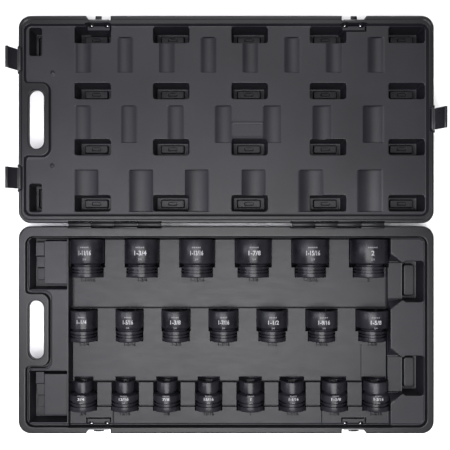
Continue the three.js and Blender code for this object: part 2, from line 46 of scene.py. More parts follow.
# ---------------- dimensions, mm
CASE_X, REAR, FRONT, H = 343.0, 2.5, 345.0, 54.0  # half width, edges from the hinge line, a half's height
AXIS_Z = 54.3  # hinge line
CORNER = 20.0
SLOT = (-327.0, -301.5, 174.0, 97.0)  # x0, x1, middle y, length
FRAME_X, FRAME_HALF = -294.0, 59.0  # block that frames the slot: inner edge, half length
GRIP_X, GRIP_Z = -293.0, 38.0  # cutaway under the grip: inner edge, height
HINGE_IN, PITCH = 108.0, 38.0  # first knuckle from the middle, knuckle spacing
LATCH_X, NOTCH_Y = 212.0, 338.0
RIVET_X, RIVET_Z = 13.2, 34.0  # across from a latch's middle, above the case's underside
LEVER_PIVOT = (3.8, 46.0)  # out from the notch, height
LOOP_PIVOT = (3.4, 39.0)
CLIP_BAR = (342.5, 48.0)  # out from the middle, height
LID_FLOOR = 46.0
LID_RIM = 53.1  # level inside the rim's double line
BASE_TOP = 51.0
MOAT, LIP_TOP = 45.0, 52.2  # groove round the inside of the base's rim, raised edge beside it
PIT_FLOOR = 19.0
TRAY = (-262.0, 273.0)
TRAY_REAR = -21.9
TERRACES = ((-141.0, 32.0), (-264.0, 37.0), (-304.0, 41.0), (-333.0, 45.0))  # front edge, level
BASE_END = -335.4
CLIPS = (("left_front", -1, 273.0), ("left_rear", -1, 77.0), ("right", 1, 175.0))
ROWS = (
    dict(nose=-24.0, z=36.0, length=63.5, boss=51.0,
         sizes=("1-11/16", "1-3/4", "1-13/16", "1-7/8", "1-15/16", "2")),
    dict(nose=-142.0, z=39.8, length=52.0, boss=44.0,
         sizes=("1-1/4", "1-5/16", "1-3/8", "1-7/16", "1-1/2", "1-9/16", "1-5/8")),
    dict(nose=-259.0, z=42.4, length=49.0, boss=44.0,
         sizes=("3/4", "13/16", "7/8", "15/16", "1", "1-1/16", "1-1/8", "1-3/16")),
)
ROW_X = (-260.0, 271.0)


def inches(size):
    whole, _, part = size.rpartition("-")
    top, _, bottom = part.partition("/")
    return float(whole or 0) + float(top) / float(bottom or 1)


def lay_out(row):
    """The sockets of one row, with equal gaps; r is the radius of a nose and b that of a boss."""
    out = []
    for size in row["sizes"]:
        flats = inches(size) * INCH
        nose = flats * 1.06 + 10
        boss = min(row["boss"], max(nose, 44.0))
        out.append(dict(row, size=size, flats=flats, r=nose / 2, b=boss / 2,
                        wide=max(nose, boss), node="socket_" + size.replace("-", "_").replace("/", "_")))
    gap = (ROW_X[1] - ROW_X[0] - sum(s["wide"] for s in out)) / (len(out) - 1)
    x = ROW_X[0]
    for s in out:
        s["x"] = x + s["wide"] / 2
        x += s["wide"] + gap
    return out


SOCKETS = [s for row in ROWS for s in lay_out(row)]


# ---------------- node materials
class Nodes:
    """Short-hand for building a procedural Principled material."""

    def __init__(self, name):
        self.mat = bpy.data.materials.new(name)
        self.mat.use_nodes = True
        self.tree = self.mat.node_tree
        self.bsdf = self.tree.nodes["Principled BSDF"]
        self.coord = self.tree.nodes.new("ShaderNodeTexCoord").outputs["Object"]

    def add(self, kind, **inputs):
        node = self.tree.nodes.new(kind)
        for key, value in inputs.items():
            key = key.replace("_", " ")
            self.put(value, node.inputs[key])
        return node

    def link(self, a, b):
        self.tree.links.new(a, b)

    def put(self, value, socket):
        if isinstance(value, bpy.types.NodeSocket):
            self.link(value, socket)
        else:
            socket.default_value = value

    def scaled(self, scale):
        node = self.add("ShaderNodeMapping", Vector=self.coord)
        node.inputs["Scale"].default_value = scale
        return node.outputs["Vector"]

    def noise(self, scale, detail=4.0, rough=0.5, vector=None):
        return self.add("ShaderNodeTexNoise", Vector=vector or self.coord, Scale=scale,
                        Detail=detail, Roughness=rough).outputs["Fac"]

    def ramp(self, fac, *stops):
        node = self.add("ShaderNodeValToRGB", Fac=fac)
        els = node.color_ramp.elements
        while len(els) < len(stops):
            els.new(0.5)
        for el, (at, colour) in zip(els, stops):
            el.position = at
            el.color = (*colour, 1) if len(colour) == 3 else colour
        return node.outputs["Color"]

    def grey(self, fac, a, b, lo=0.3, hi=0.7):
        node = self.add("ShaderNodeMapRange", Value=fac)
        for key, value in zip(("From Min", "From Max", "To Min", "To Max"), (lo, hi, a, b)):
            node.inputs[key].default_value = value
        return node.outputs["Result"]

    def mix(self, fac, a, b, mode="MIX"):
        node = self.tree.nodes.new("ShaderNodeMix")
        node.data_type = "RGBA"
        node.blend_type = mode
        for key, value in ((0, fac), (6, a), (7, b)):
            self.put(value, node.inputs[key])
        return node.outputs[2]

    def bump(self, height, strength, distance, under=None):
        node = self.add("ShaderNodeBump", Height=height, Strength=strength, Distance=distance)
        if under:
            self.link(under, node.inputs["Normal"])
        return node.outputs["Normal"]

    def scale_and_add(self, value, factor, plus):
        node = self.tree.nodes.new("ShaderNodeMath")
        node.operation = "MULTIPLY_ADD"
        self.link(value, node.inputs[0])
        node.inputs[1].default_value = factor
        self.link(plus, node.inputs[2])
        return node.outputs[0]

    def finish(self, colour, rough, normal, **fixed):
        for key, value in (("Base Color", colour), ("Roughness", rough), ("Normal", normal)):
            self.link(value, self.bsdf.inputs[key])
        for key, value in fixed.items():
            self.bsdf.inputs[key.replace("_", " ")].default_value = value
        return self.mat


def plastic(name, dark, light, rough=(0.40, 0.48), rim=1.0, sheen=0.24):
    """Blow-moulded polyethylene: fine grain, cloudy sheen, scuffs, and a smoother skin on the rims, whose
    colour is darkened there as painted shade on the top faces.
    """
    n = Nodes(name)
    cloud = n.noise(7.0, 3.0)
    base = n.ramp(cloud, (0.35, dark), (0.65, light))
    speck = n.grey(n.noise(2600.0, 2.0), 0.0, 1.0)
    colour = n.mix(1.0, base, n.ramp(speck, (0.0, (0.84,) * 3), (1.0, (1.0,) * 3)), "MULTIPLY")
    scuffs = n.noise(38.0, 8.0, 0.72, n.scaled((1.0, 3.0, 1.0)))
    rubbed = n.grey(scuffs, 0.0, 0.10, 0.62, 0.80)
    colour = n.mix(rubbed, colour, (0.09, 0.09, 0.10, 1))
    height = n.add("ShaderNodeSeparateXYZ", Vector=n.coord).outputs["Z"]
    # painted shade: colour on the top faces near full height is multiplied by rim, so the rims read darker than
    # the floors
    on_rim = n.grey(height, 0.0, 1.0, (H - 2.0) * MM, (H - 1.0) * MM)
    colour = n.mix(on_rim, colour, n.mix(1.0, colour, (rim, rim, rim, 1), "MULTIPLY"))
    pebble = n.add("ShaderNodeTexVoronoi", Vector=n.coord, Scale=1500.0).outputs["Distance"]
    normal = n.bump(pebble, 0.12, 0.0002)
    normal = n.bump(n.noise(40.0, 2.0), 0.05, 0.0004, normal)
    matt = n.grey(scuffs, rough[0], rough[1])
    return n.finish(colour, n.scale_and_add(on_rim, -0.1, matt), normal, Specular_IOR_Level=sheen)


def black_steel(name):
    """Black-oxide forging: turned marks round the axis, oily patches, bright wear flecks."""
    n = Nodes(name)
    turned = n.noise(14.0, 3.0, 0.6, n.scaled((6.0, 260.0, 6.0)))
    oil = n.noise(26.0, 5.0, 0.6)
    base = n.ramp(oil, (0.3, (0.005, 0.005, 0.007)), (0.7, (0.014, 0.014, 0.018)))
    flecks = n.grey(n.noise(220.0, 6.0, 0.7), 0.0, 0.35, 0.62, 0.80)
    colour = n.mix(flecks, base, (0.12, 0.12, 0.13, 1))
    normal = n.bump(turned, 0.12, 0.0002)
    normal = n.bump(n.noise(900.0, 3.0), 0.10, 0.0001, normal)
    return n.finish(colour, n.grey(oil, 0.24, 0.34), normal, Metallic=0.1, Specular_IOR_Level=0.20)


def plated(name, dark=(0.05, 0.05, 0.053), light=(0.17, 0.17, 0.176), rough=(0.26, 0.42)):
    """Plated pressed steel: brushed, with dull spangle."""
    n = Nodes(name)
    spangle = n.add("ShaderNodeTexVoronoi", Vector=n.coord, Scale=420.0).outputs["Color"]
    cloud = n.noise(90.0, 5.0)
    colour = n.mix(0.06, n.ramp(cloud, (0.3, dark), (0.7, light)), spangle, "SOFT_LIGHT")
    brushed = n.noise(60.0, 2.0, 0.5, n.scaled((40.0, 1.0, 4.0)))
    normal = n.bump(brushed, 0.12, 0.0002)
    return n.finish(colour, n.grey(cloud, *rough), normal, Metallic=0.95)


def ink(name, worn, fresh):
    """Printing ink, a little worn."""
    n = Nodes(name)
    wear = n.noise(900.0, 5.0, 0.7)
    colour = n.ramp(wear, (0.30, worn), (0.45, fresh))
    return n.finish(colour, n.grey(wear, 0.5, 0.7), n.bump(wear, 0.1, 0.0001))


# rim=0.45 paints shade onto the case's top faces
CASE = plastic("case_plastic", (0.007, 0.007, 0.0095), (0.012, 0.012, 0.0155), rim=0.45)
CLIP = plastic("clip_plastic", (0.010, 0.010, 0.013), (0.016, 0.016, 0.019), (0.34, 0.48))
# the moulded numbers' darker colour and low specular level are painted shade, the shadow of the socket above
# each
SHADED_NUMBERS = plastic("moulded_numbers", (0.004, 0.004, 0.005), (0.008, 0.008, 0.009), (0.6, 0.7), sheen=0.05)
STEEL = black_steel("black_steel")
ZINC = plated("plated_steel")
BRIGHT = plated("bright_rivet", (0.30, 0.30, 0.31), (0.52, 0.52, 0.53), (0.2, 0.3))
DARK_ZINC = plated("dark_plated_steel", (0.006, 0.006, 0.007), (0.026, 0.026, 0.028), (0.30, 0.42))
INK = ink("pale_ink", (0.10, 0.10, 0.11), (0.24, 0.24, 0.25))
FAINT = ink("faint_ink", (0.04, 0.04, 0.045), (0.10, 0.10, 0.11))


# ---------------- mesh helpers
def new_object(name, verts, faces, material, smooth):
    mesh = bpy.data.meshes.new(name)
    mesh.from_pydata([], [], [])
    mesh.vertices.add(len(verts))
    mesh.vertices.foreach_set("co", (np.asarray(verts, float) * MM).ravel())
    faces = np.asarray(faces, dtype=np.int32)
    mesh.loops.add(faces.size)
    mesh.loops.foreach_set("vertex_index", faces.ravel())
    mesh.polygons.add(len(faces))
    mesh.polygons.foreach_set("loop_start", np.arange(len(faces)) * faces.shape[1])
    mesh.update(calc_edges=True)
    mesh.validate()
    return dress(bpy.data.objects.new(name, mesh), material, smooth)


def from_bmesh(name, bm, material, smooth=35.0):
    mesh = bpy.data.meshes.new(name)
    bmesh.ops.scale(bm, vec=(MM, MM, MM), verts=bm.verts)
    bm.to_mesh(mesh)
    bm.free()
    return dress(bpy.data.objects.new(name, mesh), material, smooth)


def shade(obj, smooth=38.0):
    """Smooth shading, with edges sharp above an angle in degrees."""
    obj.data.shade_smooth()
    obj.data.set_sharp_from_angle(angle=math.radians(smooth))
    return obj


def dress(obj, material, smooth):
    obj.data.materials.append(material)
    bpy.context.scene.collection.objects.link(obj)
    return shade(obj, smooth)


def apply_all(obj):
    """Bakes an object's modifiers into its mesh and shades it again."""
    deps = bpy.context.evaluated_depsgraph_get()
    mesh = bpy.data.meshes.new_from_object(obj.evaluated_get(deps))
    obj.modifiers.clear()
    obj.data = mesh
    return shade(obj)


def join(objs):
    """Joins objects into the first one."""
    bpy.ops.object.select_all(action="DESELECT")
    for o in objs:
        o.select_set(True)
    bpy.context.view_layer.objects.active = objs[0]
    bpy.ops.object.join()
    return objs[0]


def bevel(obj, width):
    mod = obj.modifiers.new("bevel", "BEVEL")
    mod.width = width * MM
    mod.segments = 2
    mod.limit_method = "ANGLE"
    mod.angle_limit = math.radians(30)
    return apply_all(obj)


def skin(bm, rings, sides):
    """Faces between neighbouring rings, where a ring of one vertex is a pole."""
    for a, b in zip(rings, rings[1:]):
        for i in range(sides):
            j = (i + 1) % sides
            quad = [a[i % len(a)], a[j % len(a)], b[j % len(b)], b[i % len(b)]]
            bm.faces.new(list(dict.fromkeys(quad)))


def extruded(name, points, axis, a, b, material, round_by):
    """A closed profile pushed out along an axis from a to b, with its edges rounded.
    The profile's pairs are (y, z) along X and (x, z) along Y."""
    def place(p, t):
        return (t, *p) if axis == "X" else (p[0], t, p[1])

    bm = bmesh.new()
    low = [bm.verts.new(place(p, a)) for p in points]
    high = [bm.verts.new(place(p, b)) for p in points]
    bm.faces.new(low)
    bm.faces.new(high)
    skin(bm, [low, high], len(points))
    bmesh.ops.recalc_face_normals(bm, faces=bm.faces)
    return bevel(from_bmesh(name, bm, material), round_by)


def rod(name, a, b, r, material, sides=24, round_by=0.3):
    """A round bar between two points, with softened ends."""
    a, b = Vector(a), Vector(b)
    bm = bmesh.new()
    turn = (b - a).to_track_quat("Z", "Y").to_matrix().to_4x4()
    where = Matrix.Translation((a + b) / 2) @ turn
    bmesh.ops.create_cone(bm, cap_ends=True, segments=sides, radius1=r, radius2=r,
                          depth=(b - a).length, matrix=where)
    obj = from_bmesh(name, bm, material)
    return bevel(obj, round_by) if round_by else obj


def cut(obj, *tools):
    """Subtracts tools from obj."""
    for tool in tools:
        mod = obj.modifiers.new("cut", "BOOLEAN")
        mod.operation = "DIFFERENCE"
        mod.solver = "EXACT"
        mod.object = tool
    apply_all(obj)
    for tool in tools:
        bpy.data.objects.remove(tool)
    return obj


# ---------------- moulded surfaces
def wall_steps(top, draft, foot):
    """Distances into a mouth where its wall needs grid lines."""
    return (-0.8, 0.0, top * 0.35, top * 0.75, top, top + draft,
            top + draft + foot * 0.4, top + draft + foot * 0.8, top + draft + foot + 0.4)


def drop(t, depth, top, draft, foot):
    """How far a moulded wall has fallen at a distance t in from its mouth."""
    if depth < top + foot:
        top = foot = depth / 2
    a = np.linspace(0, math.pi / 2, 7)
    reach = np.concatenate([top * np.sin(a), top + draft + foot * (1 - np.cos(a))])
    fall = np.concatenate([top * (1 - np.cos(a)), depth - foot + foot * np.sin(a)])
    return np.interp(t, reach, fall, left=0.0)


def both_sides(direction, a, b):
    """Two distances taken to one side of the hinge line or of the middle, in rising order."""
    return sorted((direction * a, direction * b))


def sd_rect(x, y, x0, x1, y0, y1, r=0.0):
    """Signed distance to a rounded rectangle, negative inside."""
    qx = np.abs(x - (x0 + x1) / 2) - (x1 - x0) / 2 + r
    qy = np.abs(y - (y0 + y1) / 2) - (y1 - y0) / 2 + r
    out = np.hypot(np.maximum(qx, 0), np.maximum(qy, 0))
    return out + np.minimum(np.maximum(qx, qy), 0) - r


def round_meet(a, b):
    """Signed distance where two regions overlap, the corners where their edges meet rounded."""
    r = 8.0
    return np.minimum(-r, np.maximum(a, b)) + np.hypot(np.maximum(a + r, 0), np.maximum(b + r, 0))


class Sheet:
    """A height field made of moulded features, taken in order, on a grid that follows their edges."""

    def __init__(self, level):
        self.level = level
        self.features = []
        self.xs = []
        self.ys = []

    def lines(self, x0, x1, y0, y1, steps):
        """Asks for grid lines at steps into a rectangle."""
        for s in steps:
            self.xs += [x0 + s, x1 - s]
            self.ys += [y0 + s, y1 - s]

    def pit(self, x0, x1, y0, y1, z, *, r, top, draft, foot, start=None, within=None):
        """A sunk place from level start down to z, its outline taken at its mouth."""
        start = self.level if start is None else start
        self.lines(x0, x1, y0, y1, wall_steps(top, draft, foot))

        def apply(x, y, h):
            sd = sd_rect(x, y, x0, x1, y0, y1, r)
            if within is not None:
                sd = round_meet(sd, within(x, y))
            low = start - drop(-sd, start - z, top, draft, foot)
            return np.where(sd < 0, np.minimum(h, low), h)

        self.features.append(apply)

    def pad(self, x0, x1, y0, y1, z, foot_z, *, r, top, draft, foot):
        """A raised block whose outline is taken at its foot."""
        self.lines(x0, x1, y0, y1, wall_steps(foot, draft, top))

        def apply(x, y, h):
            sd = sd_rect(x, y, x0, x1, y0, y1, r)
            high = foot_z + drop(-sd, z - foot_z, foot, draft, top)
            return np.where(sd < 0, np.maximum(h, high), h)

        self.features.append(apply)

    def trough(self, x, y0, y1, z, r, end=1.2):
        """A round channel along Y about an axis at height z."""
        angles = np.radians((20, 40, 55, 68, 78, 86, 90))
        self.xs += [x + k * r * math.sin(a) for a in angles for k in (-1, 1)] + [x]
        self.ys += [y0 - 0.6, y0, y0 + end / 2, y0 + end, y1 - end, y1 - end / 2, y1, y1 + 0.6]

        def apply(gx, gy, h):
            inside = np.minimum(gy - y0, y1 - gy)
            low = z - np.sqrt(np.maximum(r * r - (gx - x) ** 2, 0))
            ramp = np.clip(inside / end, 0, 1)
            low = h - np.maximum(h - low, 0) * ramp
            return np.where((inside > 0) & (np.abs(gx - x) < r), np.minimum(h, low), h)

        self.features.append(apply)

    def dome(self, x, y, r, height):
        """A round raised button."""
        self.lines(x - r, x + r, y - r, y + r, (0, r * 0.4, r * 0.8))

        def apply(gx, gy, h):
            t = np.clip(1 - np.hypot(gx - x, gy - y) / r, 0, 1)
            return h + height * np.sin(t * math.pi / 2)

        self.features.append(apply)

    def grid(self, lo, hi, found):
        """Feature lines, thinned, with filler lines between them."""
        least, step = 0.45, 3.0
        want = np.unique(np.clip(np.array([lo, hi, *found]), lo, hi))
        kept = [want[0]]
        for v in want[1:]:
            if v - kept[-1] >= least:
                kept.append(v)
        kept[-1] = hi
        out = []
        for a, b in zip(kept, kept[1:]):
            n = max(1, math.ceil((b - a) / step))
            out += [a + (b - a) * i / n for i in range(n)]
        return np.array(out + [hi])

    def heights(self, x, y):
        h = np.full(x.shape, self.level)
        for f in self.features:
            h = f(x, y, h)
        return h


def sd_outline(direction, clip_notches=()):
    """Signed distance to a shell seen from above, with its handle slot and notches cut out."""
    y0, y1 = both_sides(direction, REAR, FRONT)
    sx0, sx1, middle, length = SLOT
    slope = 0.75  # the ends of the latch notches splay outwards

    def sd(x, y):
        splay = (np.abs(x) - (LATCH_X + 14.5 + slope * (np.abs(y) - NOTCH_Y))) / math.hypot(1, slope)
        holes = [sd_rect(x, y, sx0, sx1, direction * middle - length / 2, direction * middle + length / 2,
                         (sx1 - sx0) / 2)]
        holes += [sd_rect(x, y, *notch) for notch in (*hinge_notches(direction), *clip_notches)]
        holes += [np.maximum(sd_rect(x, y, *notch), splay) for notch in latch_notches(direction)]
        d = sd_rect(x, y, -CASE_X, CASE_X, y0, y1, CORNER)
        for hole in holes:
            d = np.maximum(d, -hole)
        return d

    return sd


def gradient(sd, x, y):
    """Unit direction in which a signed distance rises."""
    e = 0.05
    gx = (sd(x + e, y) - sd(x - e, y)) / (2 * e)
    gy = (sd(x, y + e) - sd(x, y - e)) / (2 * e)
    n = np.maximum(np.hypot(gx, gy), 1e-6)
    return gx / n, gy / n


def rounding(sd, points, r):
    """How far an edge rounded by r has fallen away at each point."""
    inside = np.clip(-sd(points[:, 0], points[:, 1]), 0, r)
    return r - np.sqrt(np.maximum(r ** 2 - (r - inside) ** 2, 0))


def shell_mesh(name, sheet, under, sd, bounds, wall_z, inset):
    """A closed moulded shell: top sheet, underside and the outer wall between them."""
    x0, x1, y0, y1 = bounds
    gx = sheet.grid(x0, x1, sheet.xs + under.xs)
    gy = sheet.grid(y0, y1, sheet.ys + under.ys)
    X, Y = np.meshgrid(gx, gy)
    cx, cy = np.meshgrid((gx[1:] + gx[:-1]) / 2, (gy[1:] + gy[:-1]) / 2)
    keep = sd(cx, cy) < 0
    near = np.zeros(X.shape, int)
    for a in (0, 1):
        for b in (0, 1):
            near[a:a + keep.shape[0], b:b + keep.shape[1]] += keep
    border = (near > 0) & (near < 4)
    for _ in range(3):
        bx, by = X[border], Y[border]
        d = sd(bx, by)
        nx, ny = gradient(sd, bx, by)
        X[border], Y[border] = bx - d * nx, by - d * ny
    top = np.stack([X, Y, sheet.heights(X, Y)], -1).reshape(-1, 3)
    low = np.stack([X, Y, under.heights(X, Y)], -1).reshape(-1, 3)
    edge_r, foot_r = 1.8, 5.0
    top[:, 2] -= rounding(sd, top, edge_r)
    low[:, 2] += rounding(sd, low, foot_r)

    cols = X.shape[1]
    j, i = np.nonzero(keep)
    a = j * cols + i
    quads = np.stack([a, a + 1, a + 1 + cols, a + cols], -1)
    size = X.size
    faces = [quads, quads[:, ::-1] + size]
    edges = np.concatenate([quads[:, (0, 1)], quads[:, (1, 2)], quads[:, (2, 3)], quads[:, (3, 0)]])
    key = edges.min(1) * size + edges.max(1)
    _, first, times = np.unique(key, return_index=True, return_counts=True)
    rim = edges[first[times == 1]]
    ring_ids = np.unique(rim)
    lookup = np.full(size, -1)
    lookup[ring_ids] = np.arange(len(ring_ids))
    bx, by = top[ring_ids, 0], top[ring_ids, 1]
    nx, ny = gradient(sd, bx, by)
    verts = [top, low]
    rings = [ring_ids]
    foot = low[ring_ids, 2]
    for k, level in enumerate(wall_z):
        z = foot + (level - foot_r) * (H - edge_r - foot) / (H - edge_r - foot_r)
        d = inset(bx, by, z)
        verts.append(np.stack([bx - d * nx, by - d * ny, z], -1))
        rings.append(2 * size + k * len(ring_ids) + np.arange(len(ring_ids)))
    rings.append(ring_ids + size)
    p, q = lookup[rim[:, 0]], lookup[rim[:, 1]]
    for above, below in zip(rings, rings[1:]):
        faces.append(np.stack([above[q], above[p], below[p], below[q]], -1))
    verts = np.concatenate(verts)
    faces = np.concatenate(faces)
    used = np.unique(faces)
    renumber = np.zeros(len(verts), int)
    renumber[used] = np.arange(len(used))
    return new_object(name, verts[used], renumber[faces], CASE, 30.0)


def band_inset(x, y, z):
    """Shallow sunk band round the outer wall, the same at every place."""
    return 0.9 * np.interp(z, (8, 10, 38, 40), (0, 1, 1, 0))


def frame_ends(direction, grow=0.0):
    return direction * SLOT[2] - FRAME_HALF - grow, direction * SLOT[2] + FRAME_HALF + grow


def underside(direction, pads):
    """Outer skin of a half: a sunk panel, five raised ones in it, dimples at pads and the grip cutaway."""
    s = Sheet(0.0)

    def lift(x0, x1, y0, y1, z, r=6.0):
        ya, yb = both_sides(direction, y0, y1)
        s.lines(x0, x1, ya, yb, (-0.8, 0, 1.0, 2.4, 3.4))

        def apply(x, y, h):
            sd = sd_rect(x, y, x0, x1, ya, yb, r)
            return h + z * np.clip(-sd / 2.4, 0, 1)

        s.features.append(apply)

    gy0, gy1 = frame_ends(direction)
    s.lines(-CASE_X - 30, GRIP_X, gy0, gy1, (-0.8, 0, 0.6, 1.4, 2.4, 4.0, 6.0))

    def grip(x, y, h):
        sd = sd_rect(x, y, -CASE_X - 30, GRIP_X, gy0, gy1, 6.0)
        return h + drop(-sd, GRIP_Z, 2.0, 0.4, 4.0)

    lift(-280, 330, 20, 327, 1.2, 10)
    for k in range(5):
        lift(-262 + k * 118, -262 + k * 118 + 96, 34, 313, -0.8, 12)
    for x, y in pads:
        lift(x - 16, x + 16, y - 6, y + 6, 0.7, 4)
    s.features.append(grip)
    return s


# ---------------- lid
WELL_X = [-222 + 130.5 * i for i in range(5)]
WELL_Y = [35.6 + 93.3 * j for j in range(4)]


def hinge_notches(direction):
    y0, y1 = both_sides(direction, -1, REAR + 2.4)
    return [(a, b, y0, y1, 0.2) for a, b in
            ((-HINGE_IN - 4 * PITCH - 0.6, -HINGE_IN + 0.6), (HINGE_IN - 0.6, HINGE_IN + 4 * PITCH + 0.6))]


def latch_notches(direction):
    y0, y1 = both_sides(direction, NOTCH_Y, FRONT + 20)
    return [(*sorted((s * (LATCH_X - 21), s * (LATCH_X + 26))), y0, y1, 1.5) for s in (-1, 1)]


def rim_lines(sheet, direction):
    """Grid lines that both halves need round the rim, the latches and the handle slot."""
    for s in (-1, 1):
        sheet.xs += [s * (LATCH_X + t) for t in (-21.5, -21, -20.5, 13, 14.5, 16, 17.5, 19, 20.5, 22)]
    sheet.lines(-CASE_X, CASE_X, *both_sides(direction, REAR, FRONT), (0, 0.5, 1.2, 2.2, 3.6, 5.2))
    sheet.lines(-400, FRAME_X, *frame_ends(direction), (-5, -3, -1.5, 0, 2, 4, 6, 9, 12))
    sheet.xs += list(np.arange(-CASE_X, -CASE_X + 24, 1.8)) + list(np.arange(CASE_X - 24, CASE_X, 1.8))
    for side in (REAR, FRONT):
        k = 1 if side == REAR else -1
        sheet.ys += [direction * (side + k * t) for t in np.arange(0, 24, 1.8)]
    sx0, sx1, sy, length = SLOT
    sheet.xs += list(np.arange(sx0 - 4, sx1 + 5, 1.6))
    for end in (-1, 1):
        middle = direction * sy + end * length / 2
        sheet.ys += list(np.arange(middle - 16, middle + 5, 1.6) if end > 0
                         else np.arange(middle - 5, middle + 16, 1.6))


def frame_block(direction, grow=0.0):
    """Signed distance that is negative outside the block framing the handle slot."""
    y0, y1 = frame_ends(direction, grow)

    def sd(x, y):
        return -sd_rect(x, y, -CASE_X - 40, FRAME_X + grow, y0, y1, 12.0)

    return sd


def latch_pockets(sheet, direction, level):
    """Shallow pocket behind each latch, with a deeper well round each rivet's inner head."""
    edge = dict(top=0.5, draft=0.2, foot=0.5)
    mouth, block, well = (both_sides(direction, *ends) for ends in ((320, 333.2), (322.4, 331), (327.5, 334)))
    for x in (-LATCH_X, LATCH_X):
        sheet.pit(x - 21.5, x + 21.5, *mouth, level - 9, start=level + 1.5, r=2.0, **edge)
        sheet.pad(x - 19.2, x + 19.2, *block, level - 1.5, level - 9, r=1.5, **edge)
        for u in (x - RIVET_X, x + RIVET_X):
            sheet.pit(u - 4.2, u + 4.2, *well, RIVET_Z - 5, start=level - 1.5, r=2.0, **edge)


def build_lid():
    s = Sheet(H)
    rim_lines(s, 1)
    # the rim's double line and the floor
    s.pit(-338.6, 338.6, 7.5, 339.6, LID_RIM, r=16, top=0.4, draft=0.3, foot=0.4)
    s.pit(-335.2, 335.2, 13.5, 332.6, LID_FLOOR, start=LID_RIM, r=13, top=1.2, draft=1.0, foot=2.4,
          within=frame_block(1))
    # the outline of an empty plaque, then a relief over every socket
    s.pad(3, 68, 142, 171, LID_FLOOR + 1.0, LID_FLOOR, r=7, top=0.4, draft=0.5, foot=0.4)
    s.pit(6, 65, 145, 168, LID_FLOOR + 0.2, start=LID_FLOOR + 1.0, r=5, top=0.3, draft=0.4, foot=0.3)
    for sk in SOCKETS:
        axis_z = 2 * AXIS_Z - sk["z"]
        chord = 20.0 if sk["boss"] > 44 else max(12.8, sk["r"] - 10.2)
        r = max(math.hypot(axis_z - LID_FLOOR, chord), sk["wide"] / 2 + 1.2)
        spare = 3 if sk["boss"] > 44 else 6
        s.trough(sk["x"], -sk["nose"] - spare, -sk["nose"] + sk["length"] + 4, axis_z, r, 1.0)
    bottom, block = 5, 11
    wells = [(x, y) for x in WELL_X for y in WELL_Y]
    for x, y in wells:
        s.pit(x - 31, x + 31, y - 14.5, y + 14.5, bottom, start=LID_FLOOR, r=6, top=1.2, draft=2.0, foot=3.0)
        s.pad(x - 20.5, x + 20.5, y - 7.5, y + 7.5, block, bottom, r=3.0, top=1.4, draft=0.4, foot=0.6)
        s.pit(x - 8, x + 8, y - 3.2, y + 3.2, block - 1.4, start=block, r=2.5, top=0.5, draft=0.3, foot=0.4)
    step = 10
    for y in (44.5, 304.0):
        s.pit(-328.5, -305.5, y - 24.5, y + 24.5, step, start=LID_FLOOR, r=5, top=1.6, draft=2.0, foot=1.2)
        s.pit(-321.5, -312.5, y - 17, y + 17, 2.8, start=step, r=2.5, top=0.8, draft=0.8, foot=0.8)
    latch_pockets(s, 1, LID_FLOOR)
    s.dome(-288, 252, 4.0, 2.0)
    s.dome(-288.8, 97.5, 4.0, 2.0)
    notches = []
    for _, side, y in CLIPS:
        notches.append((*both_sides(side, 337.8, CASE_X + 20), y - 19.5, y + 19.5, 1.2))
        s.lines(-337.8, 337.8, y - 19.5, y + 19.5, (-1.5, -0.5, 0.5, 1.5))
    lid = shell_mesh("lid_shell_moulded", s, underside(1, wells), sd_outline(1, notches),
                     (-CASE_X, CASE_X, REAR, FRONT), (50, 44, 40, 38, 24, 10, 8, 5.01), band_inset)
    parts = [lid]
    for label, side, y in CLIPS:
        a, b = both_sides(side, 337.5, 342.6)
        parts.append(extruded(f"clip_shelf_{label}", [(a, 5.5), (b, 5.5), (b, 41.2), (a, 41.2)], "Y",
                              y - 19.3, y + 19.3, CASE, 0.8))
        x, z = side * CLIP_BAR[0], CLIP_BAR[1]
        parts.append(rod(f"clip_bar_{label}", (x, y - 20, z), (x, y + 20, z), 2.0, CASE))
        for end in (-1, 1):
            parts.append(rod(f"clip_lug_{label}_{end}", (x, y + end * 18.3, z), (x, y + end * 22.6, z),
                             3.4, CASE, round_by=0.6))
    parts += knuckles(1)
    return join(parts)


def knuckles(direction):
    """Moulded hinge barrels with the webs that carry them."""
    out = []
    for side in (-1, 1):
        for k in (1, 3) if direction < 0 else (0, 2):
            a, b = both_sides(side, HINGE_IN + k * PITCH + 0.4, HINGE_IN + (k + 1) * PITCH - 0.4)
            ring = [(4.2 * math.cos(t), AXIS_Z + 4.2 * math.sin(t))
                    for t in np.radians(np.linspace(-90, 180, 19))]
            foot = [(-6.0, AXIS_Z), (-6.0, AXIS_Z - 16), (-4.6, AXIS_Z - 16), (-2.0, AXIS_Z - 8.4)]
            profile = [(y if direction < 0 else -y, z) for y, z in ring + foot]
            barrel = extruded(f"knuckle_{side}_{k}_{direction}", profile, "X", a, b, CASE, 0.6)
            bore = rod("bore", (a - 5, 0, AXIS_Z), (b + 5, 0, AXIS_Z), 2.1, CASE, round_by=0)
            out.append(cut(barrel, bore))
    return out


